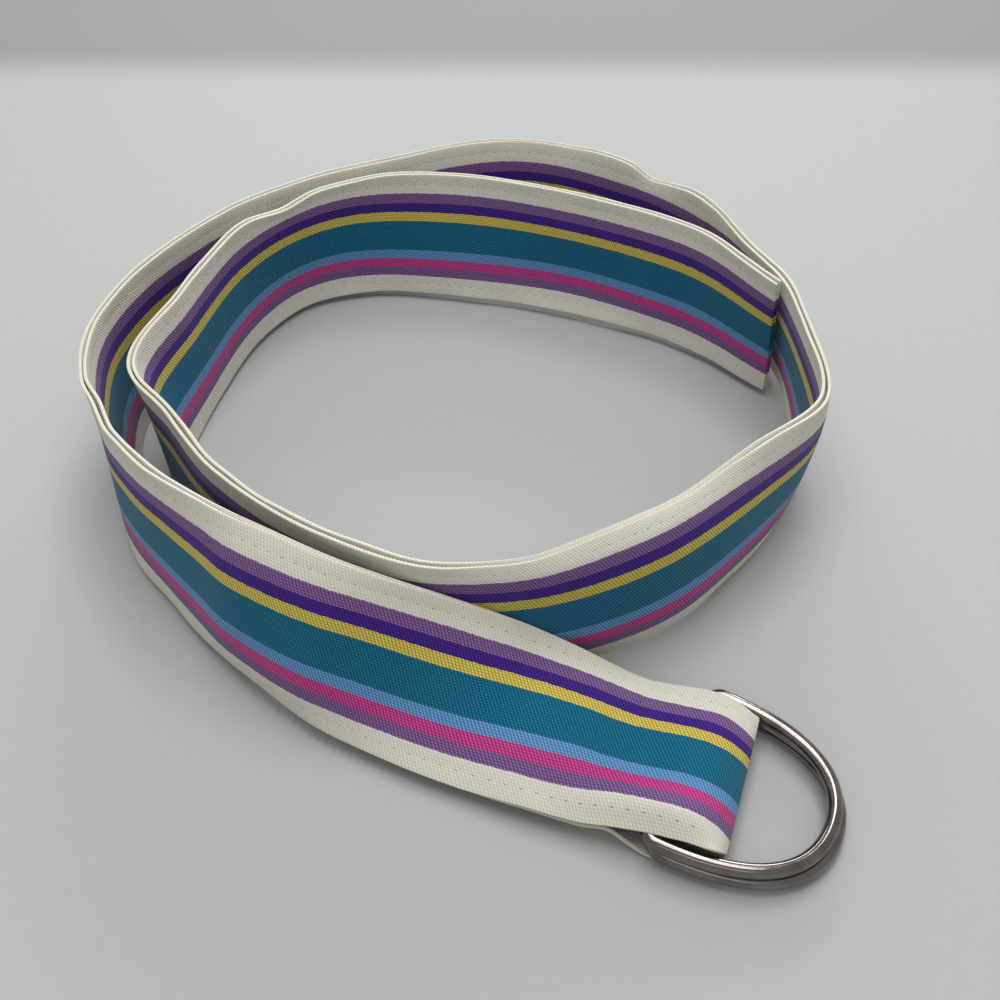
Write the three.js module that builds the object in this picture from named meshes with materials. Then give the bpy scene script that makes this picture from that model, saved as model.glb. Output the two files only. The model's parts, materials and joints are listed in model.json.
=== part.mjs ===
// Ribbon belt: one striped ribbon doubled over the straight bars of two D-rings, sewn together
// along both edges, and lying coiled on its lower edge with the rings at the near right.
// Millimetres, +Z up, +X to the right, +Y away from the ring end. The origin is on the floor,
// below the middle of the whole belt.
import * as THREE from 'three';

// Ribbon
const RIBBON_WIDTH = 38;
const PLY = 1; // thickness of one ply, doubled along the whole belt
const BORDER = 3.8; // from each long edge in to its row of stitches
const EDGE_PARTING = 0.35; // how far each ply's free edge stands off beyond the stitches

// D-rings, both alike, bent from round wire
const WIRE = 3.2;
const RING_CLEAR_WIDTH = 36.3; // along the straight bar, inside the legs
const RING_DEPTH = 32.5; // from the bar's centre line to the top of the bow's
const RING_CORNER = 2.6; // bend of the centre line at each end of the bar
const BOW_SQUARENESS = 2.35; // 2 would be an ellipse
const RING_TILT = 4.4; // degrees that the bows drop from the bars to the floor
const RING_SKEW = 7.6; // degrees that both rings are turned in the ribbon's loop
const RING_SHIFT = 0.9; // how far they have slid along their bars towards the far edge

// Loop of ribbon round the two bars
const PLAY = 0.4; // clear space beside each bar, across the ribbon's thickness
const UPPER_SETBACK = 15; // from the ribbon's fold to the upper bar
const LOWER_SETBACK = 13.8;
const NOSE_LENGTH = 5; // the rounded fold
const SLOT_FLAT = 25.5; // up to here the plies stay parted for the bars
const CROTCH = 47.5; // here the plies meet
const CORNER_ROUNDING = 1.2; // how far the fold's two corners are drawn back
const NEAR_DRAWN_IN = 2.1; // how far the rings' legs draw in the lower edge along the slot
const FAR_DRAWN_IN = 0.4; // the same for the upper edge, which lies on the far side here
const FOLD_DRAWN_IN = 1.7; // and how much further the upper edge is drawn in at the fold

// Floor
const PRESSED = 0.4; // cloth closer than this to the floor rests flat on it

// The lay: one row for each station from the fold to the free end. x and y place the ribbon's
// lower edge, lift raises it off the floor, and lean tips the upper edge outwards in degrees.
const LAY = [
  { x: 45.5, y: 119.7, lift: 4.8, lean: -90 },
  { x: 18.5, y: 128.7, lift: 4.8, lean: -90 },
  { x: -10, y: 139.6, lift: 1.4, lean: -56 },
  { x: -39, y: 154.5, lift: 3.4, lean: -31 },
  { x: -62, y: 174, lift: 2.8, lean: -16 },
  { x: -78.5, y: 192, lift: 2, lean: -7 },
  { x: -88, y: 204.5, lift: 1.4, lean: -4 },
  { x: -92.5, y: 214.5, lift: 1, lean: -1 },
  { x: -94, y: 229.5, lift: 0.2, lean: 8 },
  { x: -96.5, y: 253.5, lift: 0, lean: 7 },
  { x: -87.5, y: 283, lift: 0, lean: 2 },
  { x: -65, y: 310, lift: 1, lean: -2 },
  { x: -30.5, y: 328, lift: 0.8, lean: -3 },
  { x: 6, y: 333.5, lift: 1, lean: 3 },
  { x: 38, y: 322.5, lift: 1.6, lean: -2 },
  { x: 63, y: 301, lift: 2.6, lean: -6 },
  { x: 77.5, y: 275, lift: 2.4, lean: -9 },
  { x: 78.5, y: 248.5, lift: 1, lean: -3 },
  { x: 72, y: 224.5, lift: 0, lean: 7 },
  { x: 57.5, y: 202, lift: 0.8, lean: -4 },
  { x: 36, y: 181.5, lift: 2, lean: -9 },
  { x: 8.5, y: 172, lift: 1.2, lean: -3 },
  { x: -19.5, y: 175, lift: 0.4, lean: 4 },
  { x: -45, y: 184.5, lift: 0.2, lean: 1 },
  { x: -65.5, y: 198, lift: 0.4, lean: -3 },
  { x: -79, y: 215, lift: 0.2, lean: -5 },
  { x: -84, y: 236.5, lift: 0, lean: 8 },
  { x: -79, y: 261.5, lift: 1, lean: 4 },
  { x: -71, y: 286.5, lift: 1.8, lean: 1 },
  { x: -58, y: 304.5, lift: 2, lean: -2 },
  { x: -37, y: 311.5, lift: 2.2, lean: 4 },
  { x: -8.5, y: 308.5, lift: 2.2, lean: 9 },
  { x: 22.5, y: 300, lift: 2.4, lean: 6 },
  { x: 51.5, y: 286, lift: 2.4, lean: 3 },
  { x: 73.5, y: 266, lift: 2.4, lean: -5 },
];
const STEPS_PER_STATION = 5;

const RIBBON_COLOUR = 0x0d6b78;
const METAL_COLOUR = 0x5c5860;

// The lay as smooth curves: the lower edge's line, and the lean carried as an x value
const edgeLine = new THREE.CatmullRomCurve3(
  LAY.map((row) => new THREE.Vector3(row.x, row.y, row.lift)), false, 'catmullrom');
const leanLine = new THREE.CatmullRomCurve3(
  LAY.map((row) => new THREE.Vector3(row.lean, 0, 0)), false, 'catmullrom');

// Where a share of the lay from 0 to 1 puts the ribbon: a point of its lower edge, the direction
// along it, the direction up its width and the direction out of its outward face
function placeAt(share) {
  const origin = edgeLine.getPoint(share);
  const along = edgeLine.getTangent(share);
  const lean = THREE.MathUtils.degToRad(leanLine.getPoint(share).x);
  const outward = new THREE.Vector3(-along.y, along.x, 0).normalize();
  const up = new THREE.Vector3(0, 0, Math.cos(lean)).addScaledVector(outward, Math.sin(lean));
  up.addScaledVector(along, -up.dot(along)).normalize();
  const out = new THREE.Vector3().crossVectors(up, along).normalize();
  return { origin, along, up, out };
}

// Distances along the ribbon, measured down the middle of its width
const TRACE_STEPS = 40 * LAY.length;
const trace = [0];
for (let i = 1; i <= TRACE_STEPS; i += 1) {
  const middle = [i - 1, i].map((k) => {
    const place = placeAt(k / TRACE_STEPS);
    return place.origin.addScaledVector(place.up, RIBBON_WIDTH / 2);
  });
  trace.push(trace[i - 1] + middle[0].distanceTo(middle[1]));
}
const RIBBON_LENGTH = trace[TRACE_STEPS];

function shareAt(distance) {
  let i = 1;
  while (i < TRACE_STEPS && trace[i] < distance) i += 1;
  const within = (distance - trace[i - 1]) / (trace[i] - trace[i - 1]);
  return (i - 1 + within) / TRACE_STEPS;
}

// The ring end is straight and flat up to the end of the slot, so that both bars can turn in it
function placeAlong(distance) {
  const place = placeAt(shareAt(Math.max(distance, SLOT_FLAT)));
  place.origin.addScaledVector(place.along, Math.min(distance - SLOT_FLAT, 0));
  return place;
}

// Half the thickness between the two outward faces: a rounded nose, the slot for the bars, and
// the plies closing on each other down to the crotch
const SLOT_HALF = WIRE + 1.5 * PLAY;
const NOSE_HALF = SLOT_HALF + PLY;

function halfSlot(distance) {
  if (distance >= CROTCH) return 0;
  if (distance <= SLOT_FLAT) return SLOT_HALF;
  return SLOT_HALF * (1 - THREE.MathUtils.smoothstep(distance, SLOT_FLAT, CROTCH));
}

// Rows along the ribbon, each with the distance and half thickness of its outer and inner faces
const NOSE_STEPS = 4;
const LOOP_STEPS = 7;
const rows = [];
for (let i = 0; i < NOSE_STEPS; i += 1) {
  const turn = (i / NOSE_STEPS) * (Math.PI / 2);
  rows.push({
    outer: NOSE_LENGTH * (1 - Math.cos(turn)),
    outerHalf: NOSE_HALF * Math.sin(turn),
    inner: PLY + (NOSE_LENGTH - PLY) * (1 - Math.cos(turn)),
    innerHalf: SLOT_HALF * Math.sin(turn),
  });
}
for (let i = 0; i <= LOOP_STEPS; i += 1) {
  const distance = THREE.MathUtils.lerp(NOSE_LENGTH, CROTCH, i / LOOP_STEPS);
  const half = halfSlot(distance);
  rows.push({ outer: distance, outerHalf: half + PLY, inner: distance, innerHalf: half });
}
const CROTCH_ROW = rows.length - 1;
const bodySteps = Math.round((LAY.length - 1) * STEPS_PER_STATION * (1 - CROTCH / RIBBON_LENGTH));
for (let i = 1; i <= bodySteps; i += 1) {
  const distance = THREE.MathUtils.lerp(CROTCH, RIBBON_LENGTH, i / bodySteps);
  rows.push({ outer: distance, outerHalf: PLY, inner: distance, innerHalf: 0 });
}

// Columns up the width: the two edges, the two stitch rows and the middle
const COLUMNS = [0, BORDER, RIBBON_WIDTH / 2, RIBBON_WIDTH - BORDER, RIBBON_WIDTH];
const LAST_COLUMN = COLUMNS.length - 1;

// One point of the band: layer is outer or inner, side is 1 for the outward ply, -1 for the other
function bandPoint(layer, side, rowIndex, column) {
  const row = rows[rowIndex];
  const fromMiddle = COLUMNS[column] / (RIBBON_WIDTH / 2) - 1;
  const fade = Math.max(0, 1 - row[layer] / UPPER_SETBACK);
  const distance = row[layer] + CORNER_ROUNDING * fromMiddle ** 4 * fade;
  const slot = 1 - THREE.MathUtils.smoothstep(row[layer], SLOT_FLAT, CROTCH);
  const drawnIn = fromMiddle < 0 ? NEAR_DRAWN_IN * slot : FAR_DRAWN_IN * slot + FOLD_DRAWN_IN * fade;
  const width = COLUMNS[column] - drawnIn * fromMiddle;
  const place = placeAlong(distance);
  const onEdge = column === 0 || column === LAST_COLUMN;
  const parting = onEdge && rowIndex >= CROTCH_ROW ? EDGE_PARTING : 0;
  const offset = side * (row[`${layer}Half`] + parting);
  const point = place.origin.addScaledVector(place.up, width).addScaledVector(place.out, offset);
  if (point.z < PRESSED) point.z = 0;
  return point;
}

// The band is closed by strips of quads between shared points. Where the plies are sewn, their
// inner faces share points, and so do both plies at the nose.
function makeBand() {
  const positions = [];
  const triangles = [];
  const known = new Map();

  function at(layer, side, row, column) {
    const sewn = layer === 'inner' && row >= CROTCH_ROW && column > 0 && column < LAST_COLUMN;
    const shared = row === 0 || sewn;
    const key = [layer, shared ? 0 : side, row, column].join();
    if (!known.has(key)) {
      known.set(key, positions.length / 3);
      const point = bandPoint(layer, side, row, column);
      positions.push(point.x, point.y, point.z);
    }
    return known.get(key);
  }

  function quad(a, b, c, d) {
    triangles.push(a, b, c, a, c, d);
  }

  function face(layer, side, outwards, row, column) {
    const corners = [
      at(layer, side, row, column),
      at(layer, side, row, column + 1),
      at(layer, side, row + 1, column + 1),
      at(layer, side, row + 1, column),
    ];
    if (!outwards) corners.reverse();
    quad(...corners);
  }

  for (let row = 0; row < rows.length - 1; row += 1) {
    for (let column = 0; column < LAST_COLUMN; column += 1) {
      face('outer', 1, true, row, column);
      face('outer', -1, false, row, column);
      const border = column === 0 || column === LAST_COLUMN - 1;
      if (border || row < CROTCH_ROW) {
        face('inner', 1, false, row, column);
        face('inner', -1, true, row, column);
      }
    }
    for (const side of [1, -1]) {
      for (const column of [0, LAST_COLUMN]) {
        const corners = [
          at('inner', side, row, column),
          at('inner', side, row + 1, column),
          at('outer', side, row + 1, column),
          at('outer', side, row, column),
        ];
        if ((side === 1) !== (column === LAST_COLUMN)) corners.reverse();
        quad(...corners);
      }
    }
  }

  // The free end, cut square
  const end = rows.length - 1;
  const stitch = [1, LAST_COLUMN - 1];
  const middle = 2;
  const hub = at('outer', 1, end, middle);
  const rim = [
    at('outer', 1, end, stitch[1]),
    at('inner', 1, end, stitch[1]),
    at('outer', -1, end, stitch[1]),
    at('outer', -1, end, middle),
    at('outer', -1, end, stitch[0]),
    at('inner', 1, end, stitch[0]),
    at('outer', 1, end, stitch[0]),
  ];
  for (let i = 0; i < rim.length - 1; i += 1) triangles.push(hub, rim[i], rim[i + 1]);
  for (const side of [1, -1]) {
    for (const [edge, seam] of [[0, stitch[0]], [LAST_COLUMN, stitch[1]]]) {
      const corners = [
        at('outer', side, end, edge),
        at('outer', side, end, seam),
        at('inner', side, end, seam),
        at('inner', side, end, edge),
      ];
      if ((side === 1) !== (edge === 0)) corners.reverse();
      quad(...corners);
    }
  }

  const geometry = new THREE.BufferGeometry();
  geometry.setAttribute('position', new THREE.Float32BufferAttribute(positions, 3));
  geometry.setIndex(triangles);
  geometry.computeVertexNormals();
  return geometry;
}

// Centre line of a D in its own plane: x along the bar, y out to the bow
const HALF_BAR = (RING_CLEAR_WIDTH + WIRE) / 2;
const BOW_STEPS = 28;
const CORNER_STEPS = 3;
const WIRE_SIDES = 8;

function ringOutline() {
  const outline = [];
  for (let i = 0; i <= BOW_STEPS; i += 1) {
    const turn = (i / BOW_STEPS) * Math.PI;
    const x = Math.sign(Math.cos(turn)) * Math.abs(Math.cos(turn)) ** (2 / BOW_SQUARENESS);
    const y = Math.abs(Math.sin(turn)) ** (2 / BOW_SQUARENESS);
    outline.push(new THREE.Vector2(HALF_BAR * x, RING_CORNER + (RING_DEPTH - RING_CORNER) * y));
  }
  function corner(side, from, first, last) {
    for (let i = first; i <= last; i += 1) {
      const turn = from + (i / CORNER_STEPS) * (Math.PI / 2);
      outline.push(new THREE.Vector2(
        side * (HALF_BAR - RING_CORNER) + RING_CORNER * Math.cos(turn),
        RING_CORNER + RING_CORNER * Math.sin(turn)));
    }
  }

  // The bow's two ends are the corners' outer points, so the corners leave those out
  corner(-1, Math.PI, 1, CORNER_STEPS);
  corner(1, 1.5 * Math.PI, 0, CORNER_STEPS - 1);
  return outline;
}

function makeRing() {
  const outline = ringOutline();
  const positions = [];
  const triangles = [];
  outline.forEach((point, i) => {
    const before = outline.at(i - 1);
    const after = outline[(i + 1) % outline.length];
    const along = after.clone().sub(before).normalize();
    const outwards = new THREE.Vector2(along.y, -along.x);
    for (let side = 0; side < WIRE_SIDES; side += 1) {
      const turn = ((side + 0.5) / WIRE_SIDES) * 2 * Math.PI;
      const reach = (WIRE / 2) * Math.cos(turn);
      positions.push(point.x + outwards.x * reach, point.y + outwards.y * reach,
        (WIRE / 2) * Math.sin(turn));
      const next = (i + 1) % outline.length;
      const turned = (side + 1) % WIRE_SIDES;
      const corners = [
        i * WIRE_SIDES + side,
        i * WIRE_SIDES + turned,
        next * WIRE_SIDES + turned,
        next * WIRE_SIDES + side,
      ];
      triangles.push(corners[0], corners[2], corners[1], corners[0], corners[3], corners[2]);
    }
  });
  const geometry = new THREE.BufferGeometry();
  geometry.setAttribute('position', new THREE.Float32BufferAttribute(positions, 3));
  geometry.setIndex(triangles);
  geometry.computeVertexNormals();
  return geometry;
}

const ribbonMaterial = new THREE.MeshStandardMaterial({
  color: RIBBON_COLOUR, roughness: 0.85, metalness: 0 });
const metalMaterial = new THREE.MeshStandardMaterial({
  color: METAL_COLOUR, roughness: 0.25, metalness: 1 });

// A ring with its bar inside the ribbon's loop and its bow reaching out past the fold
function placeRing(name, setback, side) {
  const place = placeAlong(setback);
  const bow = place.along.clone().negate();
  const under = place.out.clone().negate();
  const ring = new THREE.Mesh(makeRing(), metalMaterial.clone());
  ring.name = name;
  ring.position.copy(place.origin)
    .addScaledVector(place.up, RIBBON_WIDTH / 2)
    .addScaledVector(place.out, side * (WIRE + PLAY) / 2);
  ring.quaternion.setFromRotationMatrix(new THREE.Matrix4().makeBasis(place.up, bow, under));
  ring.rotateZ(THREE.MathUtils.degToRad(RING_SKEW));
  ring.rotateX(THREE.MathUtils.degToRad(RING_TILT));
  ring.translateX(RING_SHIFT);
  return ring;
}

const band = new THREE.Mesh(makeBand(), ribbonMaterial);
band.name = 'ribbon_band';

const belt = new THREE.Group();
belt.add(band, placeRing('d_ring_upper', UPPER_SETBACK, 1), placeRing('d_ring_lower', LOWER_SETBACK, -1));

// The belt is moved so that the floor point below its middle is the origin
const extent = new THREE.Box3().setFromObject(belt, true);
const middle = extent.getCenter(new THREE.Vector3());
belt.position.set(-middle.x, -middle.y, -extent.min.z);
belt.updateMatrixWorld(true);

export default belt;
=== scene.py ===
# Ribbon belt: one striped grosgrain ribbon doubled over two D-rings and stitched along both edges,
# lying coiled on its lower edge. Lengths are in metres unless a name says mm.
import json
import math

import bpy
import numpy as np
from mathutils import Matrix, Vector, noise


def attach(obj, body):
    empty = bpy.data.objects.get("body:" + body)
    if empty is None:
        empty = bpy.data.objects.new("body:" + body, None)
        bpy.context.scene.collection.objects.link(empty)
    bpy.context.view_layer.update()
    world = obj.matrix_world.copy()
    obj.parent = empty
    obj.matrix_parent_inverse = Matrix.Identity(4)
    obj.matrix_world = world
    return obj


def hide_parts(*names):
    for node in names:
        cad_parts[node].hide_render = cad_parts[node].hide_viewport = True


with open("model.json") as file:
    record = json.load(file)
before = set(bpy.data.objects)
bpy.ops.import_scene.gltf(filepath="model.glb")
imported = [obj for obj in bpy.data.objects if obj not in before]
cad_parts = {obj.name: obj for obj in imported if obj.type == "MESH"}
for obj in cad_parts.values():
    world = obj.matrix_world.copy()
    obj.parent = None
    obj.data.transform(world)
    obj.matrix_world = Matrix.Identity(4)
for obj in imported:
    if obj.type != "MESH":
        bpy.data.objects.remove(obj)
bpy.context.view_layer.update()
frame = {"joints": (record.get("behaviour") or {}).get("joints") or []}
bpy.ops.object.select_all(action="DESELECT")

MM = 0.001

# Ribbon, in millimetres
WIDTH = 38.0
CLOTH = 0.82  # thickness of the ribbon itself
BORDER = 3.1  # from each long edge in to its row of stitches
PARTING = 0.45  # how far each ply's free edge stands off beyond the stitches
PILLOW = 0.16  # how far each ply bulges between the two rows
PUCKER = 0.10  # how far the cloth rises and dips from stitch to stitch
PUCKER_REACH = 0.8  # to either side of the row
SELVEDGE_ROUNDING = 0.22
FLOOR_CLEARANCE = 0.02

# Unevenness of the cloth, in millimetres: height and wavelength
EDGE_WAVELENGTH = 14  # of the parting of the two free edges
BAND_UNEVENNESS = 0.35
BAND_WAVELENGTH = 38
BORDER_UNEVENNESS = 0.5
BORDER_WAVELENGTH = 17
SEEDS = {"edge": 3.1, "band": 0.4, "border": 8.2}

# D-rings and their place in the ribbon's loop, in millimetres and degrees
WIRE = 3.2
RING_CLEAR_WIDTH = 36.3
HALF_BAR = (RING_CLEAR_WIDTH + WIRE) / 2
RING_DEPTH = 32.5
RING_CORNER = 2.6
RING_TILT = 4.4
RING_SKEW = 7.6
RING_SHIFT = 0.9
PLAY = 0.4
UPPER_SETBACK = 15  # of the upper ring's bar from the fold
LOWER_SETBACK = 13.8
BOW_FULLNESS = 0.64  # reach of the bow's handles, where 0.55 would be an ellipse
ROUND_FULLNESS = 0.5523

# The loop round the bars, in millimetres: distances from the fold, and bands of the two borders
SLOT_FLAT = 25.5  # the cloth lies flat as far as this
CROTCH = 47.5  # where the seams begin
CREASE_RADIUS = 0.6
BORDER_BAND = 5.5  # the band of the lower border that is tucked in at the fold
DRAWN_BAND = 14.0  # the band at the upper edge that is drawn in there
BOW_SQUARENESS = 3.5  # how evenly a bow spreads over the width

# The mesh: rows along the ribbon, in millimetres
CREASE_ROWS = 4
LOOP_STEP = 0.8

# Places up the width that the columns of the next tables stand for, from 0 at the lower edge to 1
PLACES = np.array([0, 0.145, 0.26, 0.66, 0.84, 1])

# Each ply round the loop, in millimetres: distance from the fold, how far its lower and its upper
# edge are drawn in, and its height over the lay at each of the places up the width
OUTWARD_LOOP = np.array([
    (1.7, 2.2, 2.6, 0.8, 0.2, 0.1, 0.1, 0.5, 2.7),
    (2.8, 1.0, 2.4, 2.8, 2.2, 1.9, 1.5, 1.7, 3.1),
    (4.4, 0.6, 1.8, 3.5, 4.0, 3.6, 2.9, 2.7, 3.5),
    (6.2, 0.6, 1.2, 3.6, 5.5, 4.9, 4.1, 3.7, 3.9),
    (9, 0.8, 0.5, 3.6, 6.9, 6.1, 5.1, 4.5, 4.2),
    (13, 0.8, 0.2, 3.4, 7.5, 6.6, 5.4, 4.4, 4.3),
    (17, 0.8, 0, 3.1, 7.3, 6.2, 5.1, 4.0, 3.5),
    (21, 0.6, 0, 2.6, 6.8, 5.7, 4.6, 3.7, 2.8),
    (25, 0.4, 0, 2.0, 6.1, 5.3, 4.3, 3.6, 2.3),
    (30, 0.1, 0, 1.0, 4.6, 4.8, 4.1, 3.5, 1.5),
    (36, 0, 0, 0.5, 2.6, 3.6, 3.5, 3.0, 1.1),
    (42, 0, 0, 0.5, 1.2, 2.0, 2.2, 2.0, 0.8),
    (50, 0, 0, 0.5, 0.5, 0.5, 0.5, 0.5, 0.5),
])
INWARD_LOOP = np.array([
    (1.7, 2.2, 2.6, 0.8, 0.2, 0.1, 0.1, 0.5, 2.7),
    (2.8, 2.0, 3.4, -1.4, -1.4, -1.3, -1.3, -1.2, -0.4),
    (4.4, 1.0, 3.6, -3.2, -2.8, -2.6, -2.6, -2.6, -2.4),
    (6.2, 0.4, 3.0, -4.1, -3.8, -3.6, -3.6, -3.6, -3.6),
    (9, 0, 1.6, -4.3, -4.3, -4.3, -4.3, -4.3, -4.3),
    (13, 0, 0.6, -4.3, -4.3, -4.3, -4.3, -4.3, -4.3),
    (17, 0, 0, -4.1, -4.3, -4.3, -4.3, -4.3, -4.3),
    (21, 0.4, 0, -2.2, -4.3, -4.3, -4.3, -4.3, -4.3),
    (25, 0.4, 0, 0.8, -3.8, -4.3, -4.3, -4.3, -4.3),
    (30, 0.1, 0, 0, -2.4, -3.9, -4.0, -3.9, -3.8),
    (36, 0, 0, -0.5, -1.2, -2.4, -2.9, -2.8, -2.4),
    (42, 0, 0, -0.5, -0.6, -1.0, -1.5, -1.4, -1.2),
    (50, 0, 0, -0.5, -0.5, -0.5, -0.5, -0.5, -0.5),
])

# Rises and dips: distance from the fold, and the rise at the places. The lying stretch twists up
# onto its edge, and further on the upper border sags here and there
LIFTS = np.array([
    (30, 0, 0, 0, 0, 0, 0),
    (38, 0.8, 1.6, 1.8, 1.0, 0.3, 0),
    (46, 1.6, 2.8, 3.0, 1.6, 0.4, 0),
    (54, 1.8, 2.8, 2.8, 1.2, 0.3, 0),
    (62, 1.6, 2.0, 1.8, 0.5, 0, 0),
    (72, 1.0, 1.0, 0.8, 0, 0, 0),
    (86, 0, 0, 0, 0, 0, 0),
    (92, 0, 0, 0, 0, 0, 0),
    (360, 0, 0, 0, 0, 0, 0),
    (370, 0, 0, 0, 0, 0, 0),
    (379, 0, 0, 0, 0, 0, 0.8),
    (390, 0, 0, 0, 0, 0, 0),
    (396, 0, 0, 0, 0, 0, -2.4),
    (402, 0, 0, 0, 0, 0, -1.8),
    (412, 0, 0, 0, 0, 0, 0),
    (421, 0, 0, 0, 0, 0, -1.0),
    (428, 0, 0, 0, 0, 0, -2.6),
    (436, 0, 0, 0, 0, 0, -3.2),
    (445, 0, 0, 0, 0, 0, -2.2),
    (458, 0, 0, 0, 0, 0, 0),
    (470, 0, 0, 0, 0, 0, 0),
    (500, 0, 0, 0, 0, 0, 0),
    (520, 0, 0, 0, 0, 0, 0),
    (546, 0, 0, 0, 0, 0, -2.6),
    (571, 0, 0, 0, 0, 0, -2.2),
    (590, 0, 0, 0, 0, -0.3, -2.8),
    (604, 0, 0, 0, 0, -0.2, -2.2),
    (625, 0, 0, 0, 0, 0, 0),
    (640, 0, 0, 0, 0, 0, 0),
    (758, 0, 0, 0, 0, 0, 0),
    (768, 0, 0, 0, 0, 0, 0),
    (782, 0, 0, 0, 0, 0, -2.4),
    (792, 0, 0, 0, 0, 0, -1.2),
    (802, 0, 0, 0, 0, 0, -1.0),
    (814, 0, 0, 0, 0, 0, 0),
    (824, 0, 0, 0, 0, 0, 0),
])

# How far the standing cloth bows out of the straight line between its edges: distance from the
# fold, and the bow of its lower and its upper half
BOWS = np.array([
    (76, 0, 0),
    (86, 1.2, 0.8),
    (96, 3.2, 2.8),
    (108, 3.9, 4.1),
    (118, 3.6, 4.1),
    (127, 1.9, 2.1),
    (137, 1.2, 1.0),
    (155, 0.6, 0.4),
    (180, 0, 0),
    (480, 0.5, 0.5),
    (505, 1.6, 1.8),
    (528, 2.6, 3.2),
    (545, 3.1, 3.7),
    (562, 3.5, 4.0),
    (582, 2.9, 3.0),
    (596, 2.0, 2.4),
    (615, 1.0, 1.2),
    (640, 0, 0),
    (760, 0, 0),
    (795, 1.2, 0.7),
    (820, 0, 0),
    (845, 1.0, 0.2),
    (868, 2.0, 0.3),
    (890, 0.6, 0),
])

# The lay from the fold to the free end, in millimetres and degrees:
# x and y of the lower edge, its lift off the floor, and the upper edge's lean outwards
LAY = np.array([
    (45.5, 119.7, 4.8, -90),
    (18.5, 128.7, 4.8, -90),
    (-10, 139.6, 1.4, -56),
    (-39, 154.5, 3.4, -31),
    (-62, 174, 2.8, -16),
    (-78.5, 192, 2, -7),
    (-88, 204.5, 1.4, -4),
    (-92.5, 214.5, 1, -1),
    (-94, 229.5, 0.2, 8),
    (-96.5, 253.5, 0, 7),
    (-87.5, 283, 0, 2),
    (-65, 310, 1, -2),
    (-30.5, 328, 0.8, -3),
    (6, 333.5, 1, 3),
    (38, 322.5, 1.6, -2),
    (63, 301, 2.6, -6),
    (77.5, 275, 2.4, -9),
    (78.5, 248.5, 1, -3),
    (72, 224.5, 0, 7),
    (57.5, 202, 0.8, -4),
    (36, 181.5, 2, -9),
    (8.5, 172, 1.2, -3),
    (-19.5, 175, 0.4, 4),
    (-45, 184.5, 0.2, 1),
    (-65.5, 198, 0.4, -3),
    (-79, 215, 0.2, -5),
    (-84, 236.5, 0, 8),
    (-79, 261.5, 1, 4),
    (-71, 286.5, 1.8, 1),
    (-58, 304.5, 2, -2),
    (-37, 311.5, 2.2, 4),
    (-8.5, 308.5, 2.2, 9),
    (22.5, 300, 2.4, 6),
    (51.5, 286, 2.4, 3),
    (73.5, 266, 2.4, -5),
], float)

# Stitches, in millimetres. Each is a short thread, thicker in the middle than where it dips in
STITCH_PITCH = 3.3
FIRST_STITCH = 9.0  # distance of the first stitch from the fold
END_GAP = 1.5  # from the last stitch to the free end
THREAD_LENGTH = 2.4
THREAD_BREADTH = 0.28
THREAD_HEIGHT = THREAD_BREADTH * 0.7
THREAD_SINK = 0.02
HOLE_HALF_LENGTH = 0.45  # along the row
HOLE_HALF_WIDTH = 0.13

# Colours of the stripes from the upper edge down, each with its share of the width
STRIPES = (
    ("cream", 0.156),
    ("mauve", 0.076),
    ("violet", 0.075),
    ("yellow", 0.072),
    ("teal", 0.248),
    ("sky", 0.076),
    ("pink", 0.076),
    ("mauve", 0.076),
    ("cream", 0.145),
)
YARN_COLOURS = {
    "cream": (232, 230, 220),
    "mauve": (150, 112, 170),
    "violet": (76, 38, 158),
    "yellow": (238, 220, 112),
    "teal": (4, 126, 160),
    "sky": (120, 170, 218),
    "pink": (228, 84, 164),
}
# Painted shade: each stripe's colour darkened for the valleys between the ribs, where shade falls
VALLEY_SHADE_COLOURS = {
    "cream": (206, 201, 187),
    "mauve": (72, 44, 92),
    "violet": (30, 4, 78),
    "yellow": (150, 128, 28),
    "teal": (0, 56, 78),
    "sky": (44, 98, 152),
    "pink": (124, 16, 82),
}
BORDER_YARN = (230, 226, 213)
# Painted shade in the valleys between the ribs of the borders
BORDER_VALLEY_SHADE = (205, 199, 181)
# Painted shade inside the needle holes
HOLE_SHADE_COLOUR = (96, 86, 70)
THREAD_COLOURS = ((212, 206, 188), (234, 230, 217))
METAL_COLOURS = ((112, 104, 104), (150, 140, 138))
FLOOR_COLOURS = ((176, 177, 176), (180, 181, 180))
# Painted shade of the rising paper, put on the flat floor
RISE_SHADE_COLOUR = (144, 145, 147)

# Weave
RIB_PITCH = 0.81 * MM
YARN_PITCH = 0.62 * MM
FLOAT_SLANT = 0.45  # how much of a rib each float leans over from one side of its yarn to the other

# Camera, from the photograph's vanishing lines
CAMERA_HEIGHT = 0.2341
CAMERA_PITCH_DOWN = 46.11
CAMERA_LENS_MM = 45.49
CAMERA_SENSOR_MM = 36

# Floor, and painted shade where the paper rises behind the belt: the floor stays flat and only darkens
# there
FLOOR_REACH = 1.6
RISE_SHADE_START = 0.215
RISE_SHADE_END = 0.245


def linear(colour):
    """A screen colour of 0 to 255 as the linear colour that a shader takes."""
    channels = [c / 255 for c in colour]
    curved = [c / 12.92 if c <= 0.04045 else ((c + 0.055) / 1.055) ** 2.4 for c in channels]
    return (*curved, 1)


def smoothstep(value, low, high):
    """From 0 at low to 1 at high, level at both."""
    t = np.clip((value - low) / (high - low), 0, 1)
    return t * t * (3 - 2 * t)


def unit(vectors):
    """Vectors of length 1, in the same directions."""
    return vectors / np.linalg.norm(vectors, axis=-1, keepdims=True)


# The ribbon's lay as a smooth line through the stations
LAY_PADDED = np.vstack([2 * LAY[0] - LAY[1], LAY, 2 * LAY[-1] - LAY[-2]])
SPANS = len(LAY) - 1


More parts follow.
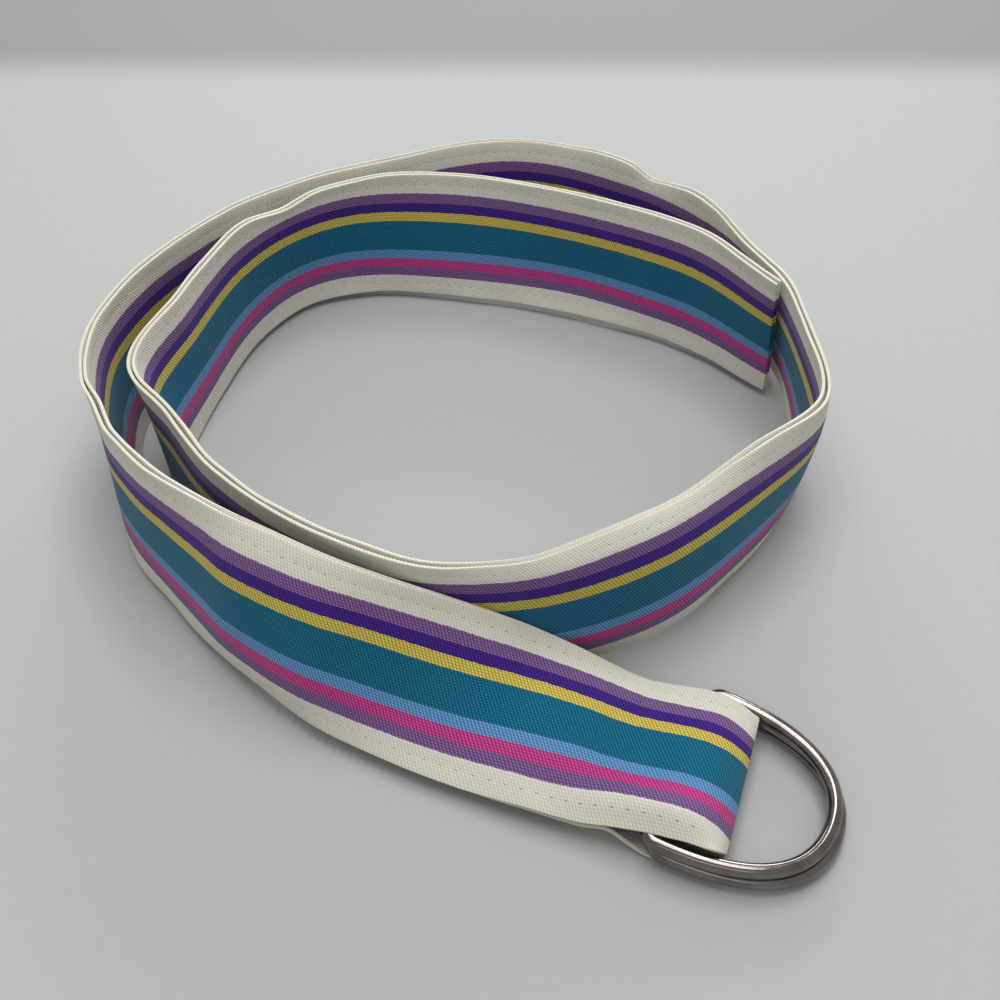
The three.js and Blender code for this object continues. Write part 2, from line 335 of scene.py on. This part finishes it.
def lay_at(share):
    """Rows of the lay and their rate of change at shares of its length from 0 to 1."""
    place = np.clip(np.asarray(share, float), 0, 1) * SPANS
    span = np.minimum(place.astype(int), SPANS - 1)
    t = (place - span)[..., None]
    a, b, c, d = (LAY_PADDED[span + k] for k in range(4))
    start = (c - a) / 2
    end = (d - b) / 2
    cubic = 2 * b - 2 * c + start + end
    square = -3 * b + 3 * c - 2 * start - end
    value = b + t * (start + t * (square + t * cubic))
    rate = start + t * (2 * square + 3 * t * cubic)
    return value, rate


def place_at(share):
    """The lower edge, and the directions along, up the width and out of the outward face."""
    value, rate = lay_at(share)
    along = unit(rate[..., :3])
    lean = np.radians(value[..., 3:4])
    level = np.stack([-along[..., 1], along[..., 0], np.zeros_like(along[..., 0])], -1)
    up = np.sin(lean) * unit(level) + np.cos(lean) * np.array([0, 0, 1])
    up = unit(up - along * (up * along).sum(-1, keepdims=True))
    return value[..., :3], along, up, np.cross(up, along)


SHARES = np.linspace(0, 1, 40 * len(LAY) + 1)
EDGE_TRACE, _, UP_TRACE, _ = place_at(SHARES)
MIDDLE_TRACE = EDGE_TRACE + UP_TRACE * WIDTH / 2
DISTANCES = np.append(0, np.cumsum(np.linalg.norm(np.diff(MIDDLE_TRACE, axis=0), axis=1)))
BELT_LENGTH = DISTANCES[-1]


def place_along(distance):
    """The same at distances in millimetres from the fold, straight as far as the slot's flat."""
    distance = np.asarray(distance, float)
    share = np.interp(np.maximum(distance, SLOT_FLAT), DISTANCES, SHARES)
    origin, along, up, out = place_at(share)
    return origin + along * np.minimum(distance - SLOT_FLAT, 0)[..., None], along, up, out


# The frame's own hinge says where the lay sits in the row frame
HINGE = Vector(next(j["pos_m"] for j in frame["joints"] if j["name"] == "upper_ring_swing"))


def bar_centre(setback, side):
    """The middle of a ring's straight bar, in millimetres of the lay."""
    origin, _, up, out = place_along(setback)
    return origin + up * WIDTH / 2 + out * side * (WIRE + PLAY) / 2


SHIFT = np.array(HINGE) / MM - bar_centre(UPPER_SETBACK, 1)


def ripple(along_mm, across, wavelength, seed):
    """Smooth seeded unevenness from -1 to 1 over the ribbon."""
    points = np.broadcast_arrays(along_mm / wavelength, across)
    flat = [noise.noise(Vector((a, b, seed))) for a, b in zip(points[0].ravel(), points[1].ravel())]
    return np.array(flat).reshape(points[0].shape)


def through(at, table):
    """Smooth values at places along a table whose first column says where its rows stand."""
    at = np.clip(np.asarray(at, float), table[0, 0], table[-1, 0])
    knots, values = table[:, 0], table[:, 1:]
    slopes = np.gradient(values, knots, axis=0)
    row = np.clip(np.searchsorted(knots, at, side="right") - 1, 0, len(knots) - 2)
    gap = (knots[row + 1] - knots[row])[:, None]
    t = (at - knots[row])[:, None] / gap
    rise = values[row + 1] - values[row]
    bend = t * (1 - t) * ((1 - t) * (slopes[row] * gap - rise) - t * (slopes[row + 1] * gap - rise))
    return values[row] + t * rise + bend


def up_the_width(rows):
    """Values at the ribbon's columns from values at the places up the width."""
    return through(COLUMNS / WIDTH, np.column_stack([PLACES, rows.T])).T


def across_columns():
    """Millimetres up the width, closer together at the borders."""
    border = [0, 0.7, 1.4, 2.1, 2.7, BORDER, 3.6, 4.3, 5.4, 7.0]
    inner = np.linspace(10, WIDTH / 2, 5)
    half = np.append(border, inner)
    return np.append(half, WIDTH - half[-2::-1])


COLUMNS = across_columns()
STITCH_COLUMNS = (5, len(COLUMNS) - 6)
ROW_STEP = STITCH_PITCH / 2


def ply_rows():
    """Distances from the fold, and how far the crease has opened, from the fold on."""
    turns = np.linspace(0, math.pi / 2, CREASE_ROWS + 1)[:-1]
    crease_end = OUTWARD_LOOP[0, 0] + CREASE_RADIUS
    crease = crease_end - CREASE_RADIUS * np.cos(turns)
    loop = np.arange(crease_end, CROTCH, LOOP_STEP)
    count = int(round((BELT_LENGTH - CROTCH) / ROW_STEP))
    run = np.linspace(CROTCH, BELT_LENGTH, count + 1)
    distances = np.concatenate([crease, loop, run])
    return distances, np.append(np.sin(turns), np.ones(len(loop) + len(run)))


def ply_surface(side):
    """Points of one ply's middle surface, in millimetres of the lay: rows by columns by 3."""
    distance, opened = ply_rows()
    loop = through(distance, OUTWARD_LOOP if side > 0 else INWARD_LOOP)
    crease = up_the_width(OUTWARD_LOOP[:1, 3:])
    height = crease + (up_the_width(loop[:, 2:]) - crease) * opened[:, None]
    lift = up_the_width(through(distance, LIFTS))
    bow = through(distance, BOWS)
    distance = distance[:, None]
    across = COLUMNS[None, :] / WIDTH
    lower_in = loop[:, :1] * np.clip(1 - across * WIDTH / BORDER_BAND, 0, 1)
    upper_in = loop[:, 1:2] * np.clip(1 - (1 - across) * WIDTH / DRAWN_BAND, 0, 1)
    width = COLUMNS[None, :] + lower_in - upper_in
    origin, _, up, out = place_along(distance + 0 * across)

    # Beyond the stitches the two plies part and wave a little; at the stitches they are drawn in
    edge = np.clip((BORDER - np.minimum(COLUMNS, WIDTH - COLUMNS)) / BORDER, 0, 1)[None, :]
    sewn = smoothstep(distance, SLOT_FLAT, CROTCH)
    wave = 0.5 + 0.9 * ripple(distance, across * 4, EDGE_WAVELENGTH, SEEDS["edge"] + side)
    parting = PARTING * edge ** 0.8 * np.clip(wave, 0.15, 1.4) * sewn
    between_rows = np.clip((COLUMNS - BORDER) / (WIDTH - 2 * BORDER), 0, 1)[None, :]
    pillow = PILLOW * np.sin(math.pi * between_rows)
    from_row = np.minimum(COLUMNS, WIDTH - COLUMNS)[None, :] - BORDER
    stitches_passed = (distance - FIRST_STITCH) / STITCH_PITCH
    pucker = PUCKER * np.exp(-(from_row / PUCKER_REACH) ** 2) * np.cos(2 * math.pi * stitches_passed)
    offset = height + side * (parting + (pillow + pucker) * sewn)

    # Unevenness that both plies share
    free = smoothstep(distance, SLOT_FLAT, CROTCH + 10)
    band = BAND_UNEVENNESS * ripple(distance, across, BAND_WAVELENGTH, SEEDS["band"])
    borders = BORDER_UNEVENNESS * ripple(distance, across, BORDER_WAVELENGTH, SEEDS["border"])
    shared = free * (band + (2 * across - 1) ** 2 * borders)
    half_bow = bow[:, :1] + (bow[:, 1:] - bow[:, :1]) * smoothstep(across, 0.2, 0.75)
    shared = shared + half_bow * (1 - np.abs(2 * across - 1) ** BOW_SQUARENESS)
    points = origin + up * width[..., None] + out * (offset + shared)[..., None]
    points[..., 2] += lift
    lowest = (CLOTH / 2) * np.abs(out[..., 2]) + FLOOR_CLEARANCE
    points[..., 2] = np.maximum(points[..., 2], lowest)
    return points


def arc_lengths(points):
    """Length along the middle column, from its first row."""
    middle = points[:, len(COLUMNS) // 2]
    return np.append(0, np.cumsum(np.linalg.norm(np.diff(middle, axis=0), axis=1)))


def ribbon_surface():
    """The whole ribbon from the outward ply's free end, round the fold, to the inward one's."""
    outward = ply_surface(1)
    inward = ply_surface(-1)
    points = (np.concatenate([outward[::-1], inward[1:]]) + SHIFT) * MM
    fold = len(outward) - 1
    lengths = arc_lengths(points)
    return points, lengths - lengths[fold]


def make_ribbon(points, lengths):
    """The ribbon as one sheet, its UV map being metres along and the share up the width."""
    rows, columns = points.shape[:2]
    index = np.arange(rows * columns).reshape(rows, columns)
    corners = [index[:-1, :-1], index[1:, :-1], index[1:, 1:], index[:-1, 1:]]
    faces = np.stack(corners, -1).reshape(-1, 4)
    mesh = bpy.data.meshes.new("ribbon_cloth")
    mesh.from_pydata(points.reshape(-1, 3).tolist(), [], faces.tolist())
    layer = mesh.uv_layers.new(name="weave")
    across = np.broadcast_to(COLUMNS / WIDTH, (rows, columns)).ravel()
    along = np.repeat(lengths, columns)
    used = faces.ravel()
    layer.uv.foreach_set("vector", np.stack([along[used], across[used]], -1).ravel())
    ribbon = bpy.data.objects.new("ribbon_cloth", mesh)
    bpy.context.scene.collection.objects.link(ribbon)
    return ribbon


def apply_modifiers(piece):
    bpy.ops.object.select_all(action="DESELECT")
    bpy.context.view_layer.objects.active = piece
    piece.select_set(True)
    for modifier in list(piece.modifiers):
        bpy.ops.object.modifier_apply(modifier=modifier.name)


def give_thickness(ribbon):
    """The sheet becomes cloth with rounded long edges and ends."""
    wall = ribbon.modifiers.new("wall", "SOLIDIFY")
    wall.thickness = CLOTH * MM
    wall.offset = 0
    wall.use_even_offset = False
    selvedge = ribbon.modifiers.new("selvedge", "BEVEL")
    selvedge.width = SELVEDGE_ROUNDING * MM
    selvedge.segments = 2
    selvedge.limit_method = "ANGLE"
    selvedge.angle_limit = math.radians(60)
    apply_modifiers(ribbon)
    bpy.ops.object.shade_smooth()


def bent_wire_ring(name, setback, side):
    """A round-wire D-ring with its bar in the ribbon's loop."""
    bpy.ops.curve.primitive_bezier_circle_add(radius=HALF_BAR)
    ring = bpy.context.object
    ring.name = name
    outline = ring.data.splines[0]
    outline.bezier_points.add(1)
    rounding = RING_CORNER * ROUND_FULLNESS
    bow_height = RING_DEPTH - RING_CORNER
    corners = (
        ((0, RING_DEPTH), (-HALF_BAR * BOW_FULLNESS, 0), (HALF_BAR * BOW_FULLNESS, 0)),
        ((HALF_BAR, RING_CORNER), (0, bow_height * BOW_FULLNESS), (0, -rounding)),
        ((HALF_BAR - RING_CORNER, 0), (rounding, 0), (-RING_CORNER, 0)),
        ((RING_CORNER - HALF_BAR, 0), (RING_CORNER, 0), (-rounding, 0)),
        ((-HALF_BAR, RING_CORNER), (0, -rounding), (0, bow_height * BOW_FULLNESS)),
    )
    for point, (place, before, after) in zip(outline.bezier_points, corners):
        point.handle_left_type = point.handle_right_type = "FREE"
        point.co = (*place, 0)
        point.handle_left = (place[0] + before[0], place[1] + before[1], 0)
        point.handle_right = (place[0] + after[0], place[1] + after[1], 0)
    outline.use_cyclic_u = True
    ring.data.resolution_u = 28
    ring.data.bevel_depth = WIRE / 2
    ring.data.bevel_resolution = 6
    bpy.ops.object.convert(target="MESH")
    _, along, up, out = place_along(setback)
    axes = Matrix((up, -along, -out)).transposed().to_4x4()
    ring.matrix_world = (
        Matrix.Scale(MM, 4)
        @ Matrix.Translation(bar_centre(setback, side) + SHIFT)
        @ axes
        @ Matrix.Rotation(math.radians(RING_SKEW), 4, "Z")
        @ Matrix.Rotation(math.radians(RING_TILT), 4, "X")
        @ Matrix.Translation((RING_SHIFT, 0, 0))
    )
    bpy.ops.object.transform_apply(location=True, rotation=True, scale=True)
    bpy.ops.object.shade_smooth()
    ring.select_set(False)
    return ring


def stitch_template():
    """One stitch, modelled once: its vertices and faces."""
    bpy.ops.mesh.primitive_uv_sphere_add(
        segments=6, ring_count=5, radius=0.5, rotation=(0, math.pi / 2, 0))
    stitch = bpy.context.object
    bpy.ops.object.transform_apply(location=False, rotation=True, scale=False)
    bpy.ops.object.mode_set(mode="EDIT")
    bpy.ops.mesh.select_all(action="SELECT")
    bpy.ops.transform.resize(
        value=(THREAD_LENGTH * MM, THREAD_BREADTH * MM, THREAD_HEIGHT * MM))
    bpy.ops.object.mode_set(mode="OBJECT")
    vertices = np.array([v.co for v in stitch.data.vertices])
    faces = [tuple(f.vertices) for f in stitch.data.polygons]
    bpy.data.objects.remove(stitch)
    return vertices, faces


def at_length(length, lengths, rows):
    """A vector read between the rows that stand at the lengths."""
    return np.array([np.interp(length, lengths, rows[:, k]) for k in range(3)])


def stitch_rows(points, lengths):
    """Both rows of stitches on both outward faces, joined in one mesh."""
    template, faces = stitch_template()
    normals = np.cross(np.gradient(points, axis=0), np.gradient(points, axis=1))
    normals = -unit(normals)
    count = int((BELT_LENGTH - END_GAP - FIRST_STITCH) / STITCH_PITCH)
    middles = (FIRST_STITCH + STITCH_PITCH * (np.arange(count) + 0.5)) * MM
    all_vertices = []
    all_faces = []
    for column in STITCH_COLUMNS:
        for way in (1, -1):
            for middle in way * middles:
                at = at_length(middle, lengths, points[:, column])
                ahead = at_length(middle + 1 * MM, lengths, points[:, column])
                normal = at_length(middle, lengths, normals[:, column])
                along = unit(ahead - at)
                normal = unit(normal - along * normal.dot(along))
                axes = np.array([along, np.cross(normal, along), normal])
                seat = at + normal * (CLOTH / 2 - THREAD_SINK) * MM
                start = len(all_vertices) * len(template)
                all_vertices.append(template @ axes + seat)
                all_faces.extend(tuple(start + i for i in face) for face in faces)
    mesh = bpy.data.meshes.new("edge_stitching")
    mesh.from_pydata(np.concatenate(all_vertices).tolist(), [], all_faces)
    stitching = bpy.data.objects.new("edge_stitching", mesh)
    bpy.context.scene.collection.objects.link(stitching)
    bpy.ops.object.select_all(action="DESELECT")
    bpy.context.view_layer.objects.active = stitching
    stitching.select_set(True)
    bpy.ops.object.shade_smooth()
    return stitching


def new_material(name):
    material = bpy.data.materials.new(name)
    material.use_nodes = True
    nodes = material.node_tree.nodes
    return material, nodes, material.node_tree.links, nodes["Principled BSDF"]


def maths(nodes, links, operation, *values):
    """A Math node on two or three inputs, each a number or another node's output."""
    node = nodes.new("ShaderNodeMath")
    node.operation = operation
    for socket, value in zip(node.inputs, values):
        if isinstance(value, (int, float)):
            socket.default_value = value
        else:
            links.new(value, socket)
    return node.outputs[0]


def ribbed_weave_group():
    """Cross ribs of floats, half a rib apart on neighbouring yarns.

    Along is in metres, and Across is the share of the width.
    """
    group = bpy.data.node_groups.new("ribbed_weave", "ShaderNodeTree")
    for name in ("Along", "Across", "Rib Pitch", "Yarn Pitch", "Slant"):
        group.interface.new_socket(name, in_out="INPUT", socket_type="NodeSocketFloat")
    for name in ("Float", "Height"):
        group.interface.new_socket(name, in_out="OUTPUT", socket_type="NodeSocketFloat")
    nodes, links = group.nodes, group.links
    inputs = nodes.new("NodeGroupInput").outputs
    results = nodes.new("NodeGroupOutput").inputs

    def m(operation, *values):
        return maths(nodes, links, operation, *values)

    yarn = m("DIVIDE", m("MULTIPLY", inputs["Across"], WIDTH * MM), inputs["Yarn Pitch"])
    parity = m("MULTIPLY", m("PINGPONG", m("FLOOR", yarn), 1), 0.5)
    leaning = m("MULTIPLY", m("SUBTRACT", m("FRACT", yarn), 0.5), inputs["Slant"])
    rib = m("ADD", m("ADD", m("DIVIDE", inputs["Along"], inputs["Rib Pitch"]), parity), leaning)
    crest = m("ABSOLUTE", m("SINE", m("MULTIPLY", rib, math.pi)))
    crown = m("POWER", m("ABSOLUTE", m("SINE", m("MULTIPLY", yarn, math.pi))), 0.6)
    links.new(m("MULTIPLY", crest, crown), results["Float"])
    links.new(m("MULTIPLY", crest, m("MULTIPLY_ADD", crown, 0.5, 0.5)), results["Height"])
    return group


def stripe_ramp(nodes, links, across, colours, border):
    """The stripes as steps of colour up the width, with the borders beyond the stitches."""
    ramp = nodes.new("ShaderNodeValToRGB")
    ramp.color_ramp.interpolation = "CONSTANT"
    stops = [(0.0, border), (BORDER / WIDTH - 0.01, colours[STRIPES[-1][0]])]
    top = 0.0
    edges = []
    for name, share in STRIPES:
        edges.append((1 - top - share, colours[name]))
        top += share
    stops += reversed(edges[:-1])
    stops.append((1 - BORDER / WIDTH + 0.01, border))
    elements = ramp.color_ramp.elements
    while len(elements) > 1:
        elements.remove(elements[-1])
    elements[0].position = 0
    elements[0].color = linear(stops[0][1])
    for position, colour in stops[1:]:
        elements.new(position).color = linear(colour)
    links.new(across, ramp.inputs[0])
    return ramp.outputs[0]


def ribbon_material(weave_group):
    material, nodes, links, shader = new_material("striped_grosgrain")

    def m(operation, *values):
        return maths(nodes, links, operation, *values)

    uv = nodes.new("ShaderNodeUVMap")
    uv.uv_map = "weave"
    parts = nodes.new("ShaderNodeSeparateXYZ")
    links.new(uv.outputs[0], parts.inputs[0])
    along, across = parts.outputs[0], parts.outputs[1]

    weave = nodes.new("ShaderNodeGroup")
    weave.node_tree = weave_group
    links.new(along, weave.inputs["Along"])
    links.new(across, weave.inputs["Across"])
    weave.inputs["Rib Pitch"].default_value = RIB_PITCH
    weave.inputs["Yarn Pitch"].default_value = YARN_PITCH
    weave.inputs["Slant"].default_value = FLOAT_SLANT

    # The stripes' edges step in and out by part of a yarn
    coordinates = nodes.new("ShaderNodeTexCoord")
    wobble = nodes.new("ShaderNodeTexNoise")
    wobble.inputs["Scale"].default_value = 900
    links.new(coordinates.outputs["Object"], wobble.inputs["Vector"])
    stepped = m("MULTIPLY_ADD", m("SUBTRACT", wobble.outputs["Fac"], 0.5), 0.012, across)
    high = stripe_ramp(nodes, links, stepped, YARN_COLOURS, BORDER_YARN)
    # The valleys' colours are painted shade, mixed in where the floats dip between the ribs
    low = stripe_ramp(nodes, links, stepped, VALLEY_SHADE_COLOURS, BORDER_VALLEY_SHADE)
    weave_and_valley_shade = nodes.new("ShaderNodeMix")
    weave_and_valley_shade.data_type = "RGBA"
    links.new(weave.outputs["Float"], weave_and_valley_shade.inputs["Factor"])
    links.new(low, weave_and_valley_shade.inputs["A"])
    links.new(high, weave_and_valley_shade.inputs["B"])

    # Handling has left the cloth slightly uneven in tone
    tone = nodes.new("ShaderNodeTexNoise")
    tone.inputs["Scale"].default_value = 60
    tone.inputs["Detail"].default_value = 4
    links.new(coordinates.outputs["Object"], tone.inputs["Vector"])
    handled = nodes.new("ShaderNodeMix")
    handled.data_type = "RGBA"
    handled.blend_type = "MULTIPLY"
    handled.inputs["B"].default_value = (0.80, 0.79, 0.76, 1)
    links.new(m("MULTIPLY", tone.outputs["Fac"], 0.35), handled.inputs["Factor"])
    links.new(weave_and_valley_shade.outputs["Result"], handled.inputs["A"])

    # Needle holes: short slits in both stitch rows, darkened with painted shade
    from_edge = m("MULTIPLY", m("MINIMUM", across, m("SUBTRACT", 1, across)), WIDTH)
    aside = m("ABSOLUTE", m("SUBTRACT", from_edge, BORDER))
    length_mm = m("DIVIDE", m("ABSOLUTE", along), MM)
    step = m("DIVIDE", m("SUBTRACT", length_mm, FIRST_STITCH), STITCH_PITCH)
    to_hole = m("MULTIPLY", m("PINGPONG", step, 0.5), STITCH_PITCH)
    reach = m("ADD", m("POWER", m("DIVIDE", aside, HOLE_HALF_WIDTH), 2),
              m("POWER", m("DIVIDE", to_hole, HOLE_HALF_LENGTH), 2))
    slit = m("MAXIMUM", m("SUBTRACT", 1.3, reach), 0)
    sewn = m("GREATER_THAN", length_mm, FIRST_STITCH - 1)
    hole = m("MINIMUM", m("MULTIPLY", m("MULTIPLY", slit, sewn), tone.outputs["Fac"]), 0.8)
    hole_shading = nodes.new("ShaderNodeMix")
    hole_shading.data_type = "RGBA"
    hole_shading.inputs["B"].default_value = linear(HOLE_SHADE_COLOUR)
    links.new(hole, hole_shading.inputs["Factor"])
    links.new(handled.outputs["Result"], hole_shading.inputs["A"])
    links.new(hole_shading.outputs["Result"], shader.inputs["Base Color"])

    fibre = nodes.new("ShaderNodeTexNoise")
    fibre.inputs["Scale"].default_value = 4200
    fibre.inputs["Detail"].default_value = 3
    links.new(coordinates.outputs["Object"], fibre.inputs["Vector"])
    height = m("SUBTRACT", m("MULTIPLY_ADD", fibre.outputs["Fac"], 0.25, weave.outputs["Height"]), hole)
    bump = nodes.new("ShaderNodeBump")
    bump.inputs["Strength"].default_value = 0.55
    bump.inputs["Distance"].default_value = 0.16 * MM
    links.new(height, bump.inputs["Height"])
    links.new(bump.outputs[0], shader.inputs["Normal"])

    rough = m("MULTIPLY_ADD", weave.outputs["Float"], -0.18, 0.86)
    links.new(rough, shader.inputs["Roughness"])
    shader.inputs["Specular IOR Level"].default_value = 0.2
    shader.inputs["Sheen Weight"].default_value = 0.12
    shader.inputs["Sheen Roughness"].default_value = 0.5
    return material


def thread_material():
    material, nodes, links, shader = new_material("cream_thread")
    coordinates = nodes.new("ShaderNodeTexCoord")
    twist = nodes.new("ShaderNodeTexNoise")
    twist.inputs["Scale"].default_value = 2600
    links.new(coordinates.outputs["Object"], twist.inputs["Vector"])
    colour = nodes.new("ShaderNodeValToRGB")
    colour.color_ramp.elements[0].color = linear(THREAD_COLOURS[0])
    colour.color_ramp.elements[1].color = linear(THREAD_COLOURS[1])
    links.new(twist.outputs["Fac"], colour.inputs[0])
    links.new(colour.outputs[0], shader.inputs["Base Color"])
    bump = nodes.new("ShaderNodeBump")
    bump.inputs["Strength"].default_value = 0.4
    bump.inputs["Distance"].default_value = 0.05 * MM
    links.new(twist.outputs["Fac"], bump.inputs["Height"])
    links.new(bump.outputs[0], shader.inputs["Normal"])
    shader.inputs["Roughness"].default_value = 0.6
    return material


def ring_material():
    material, nodes, links, shader = new_material("dark_nickel_wire")
    coordinates = nodes.new("ShaderNodeTexCoord")
    cloud = nodes.new("ShaderNodeTexNoise")
    cloud.inputs["Scale"].default_value = 140
    cloud.inputs["Detail"].default_value = 5
    links.new(coordinates.outputs["Object"], cloud.inputs["Vector"])
    colour = nodes.new("ShaderNodeValToRGB")
    colour.color_ramp.elements[0].position = 0.3
    colour.color_ramp.elements[0].color = linear(METAL_COLOURS[0])
    colour.color_ramp.elements[1].position = 0.7
    colour.color_ramp.elements[1].color = linear(METAL_COLOURS[1])
    links.new(cloud.outputs["Fac"], colour.inputs[0])
    links.new(colour.outputs[0], shader.inputs["Base Color"])
    rough = nodes.new("ShaderNodeMapRange")
    rough.inputs["To Min"].default_value = 0.08
    rough.inputs["To Max"].default_value = 0.2
    links.new(cloud.outputs["Fac"], rough.inputs["Value"])
    links.new(rough.outputs[0], shader.inputs["Roughness"])
    pits = nodes.new("ShaderNodeTexNoise")
    pits.inputs["Scale"].default_value = 700
    pits.inputs["Detail"].default_value = 2
    links.new(coordinates.outputs["Object"], pits.inputs["Vector"])
    bump = nodes.new("ShaderNodeBump")
    bump.inputs["Strength"].default_value = 0.25
    bump.inputs["Distance"].default_value = 0.04 * MM
    links.new(pits.outputs["Fac"], bump.inputs["Height"])
    links.new(bump.outputs[0], shader.inputs["Normal"])
    shader.inputs["Metallic"].default_value = 1
    return material


def give(piece, material, body, node):
    """A piece's material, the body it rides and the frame's node it stands for."""
    piece.data.materials.clear()
    piece.data.materials.append(material)
    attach(piece, body)
    if node:
        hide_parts(node)


def stage_material():
    material, nodes, links, shader = new_material("pale_floor_paper")
    coordinates = nodes.new("ShaderNodeTexCoord")
    grain = nodes.new("ShaderNodeTexNoise")
    grain.inputs["Scale"].default_value = 300
    links.new(coordinates.outputs["Object"], grain.inputs["Vector"])
    colour = nodes.new("ShaderNodeValToRGB")
    colour.color_ramp.elements[0].color = linear(FLOOR_COLOURS[0])
    colour.color_ramp.elements[1].color = linear(FLOOR_COLOURS[1])
    links.new(grain.outputs["Fac"], colour.inputs[0])
    # Painted shade: far behind the belt the flat floor darkens, standing in for paper that rises out of
    # the light
    place = nodes.new("ShaderNodeSeparateXYZ")
    links.new(coordinates.outputs["Object"], place.inputs[0])
    rise = nodes.new("ShaderNodeMapRange")
    rise.interpolation_type = "SMOOTHSTEP"
    rise.inputs["From Min"].default_value = RISE_SHADE_START
    rise.inputs["From Max"].default_value = RISE_SHADE_END
    links.new(place.outputs[1], rise.inputs["Value"])
    shade = nodes.new("ShaderNodeMix")
    shade.data_type = "RGBA"
    shade.inputs["B"].default_value = linear(RISE_SHADE_COLOUR)
    links.new(rise.outputs[0], shade.inputs["Factor"])
    links.new(colour.outputs[0], shade.inputs["A"])
    links.new(shade.outputs["Result"], shader.inputs["Base Color"])
    shader.inputs["Roughness"].default_value = 0.7
    shader.inputs["Specular IOR Level"].default_value = 0.2
    return material


def make_stage():
    bpy.ops.object.select_all(action="DESELECT")
    bpy.ops.mesh.primitive_plane_add(size=2 * FLOOR_REACH)
    floor = bpy.context.object
    floor.name = "pale_floor"
    floor.data.materials.append(stage_material())
    floor.select_set(False)


def soft_light(name, place, target, size, power):
    """An area lamp: place and target in metres, size as breadth and depth, power in watts."""
    lamp = bpy.data.lights.new(name, "AREA")
    lamp.shape = "RECTANGLE"
    lamp.size, lamp.size_y = size
    lamp.energy = power
    light = bpy.data.objects.new(name, lamp)
    light.location = place
    light.rotation_euler = (Vector(target) - Vector(place)).to_track_quat("-Z", "Y").to_euler()
    bpy.context.scene.collection.objects.link(light)


def light_scene():
    world = bpy.data.worlds.new("studio")
    bpy.context.scene.world = world
    world.use_nodes = True
    background = world.node_tree.nodes["Background"]
    background.inputs["Color"].default_value = (0.985, 1.0, 0.985, 1)
    background.inputs["Strength"].default_value = 0.43
    soft_light("overhead", (0, 0, 0.7), (0, 0, 0), (0.5, 0.4), 2.4)
    soft_light("back_key", (0.15, 0.65, 1.3), (0, 0, 0), (0.5, 0.4), 4.5)
    soft_light("low_back", (0.1, 1.5, 0.6), (0, 0, 0), (1.4, 0.5), 15)
    soft_light("front_fill", (-0.1, -1.2, 1.2), (0, 0, 0.02), (1.0, 0.3), 1)
    bpy.context.scene.view_settings.view_transform = "Standard"


def place_camera():
    data = bpy.data.cameras.new("camera")
    data.lens = CAMERA_LENS_MM
    data.sensor_width = CAMERA_SENSOR_MM
    data.clip_start = 0.01
    camera = bpy.data.objects.new("camera", data)
    camera.location = (SHIFT[0] * MM, SHIFT[1] * MM, CAMERA_HEIGHT)
    camera.rotation_euler = (math.radians(90 - CAMERA_PITCH_DOWN), 0, 0)
    bpy.context.scene.collection.objects.link(camera)
    bpy.context.scene.camera = camera


place_camera()
make_stage()
light_scene()

points, lengths = ribbon_surface()
ribbon = make_ribbon(points, lengths)
give_thickness(ribbon)
stitching = stitch_rows(points, lengths)
upper = bent_wire_ring("ring_wire_upper", UPPER_SETBACK, 1)
lower = bent_wire_ring("ring_wire_lower", LOWER_SETBACK, -1)

metal = ring_material()
give(ribbon, ribbon_material(ribbed_weave_group()), "ribbon", "ribbon_band")
give(stitching, thread_material(), "ribbon", None)
give(upper, metal, "upper_ring", "d_ring_upper")
give(lower, metal, "lower_ring", "d_ring_lower")
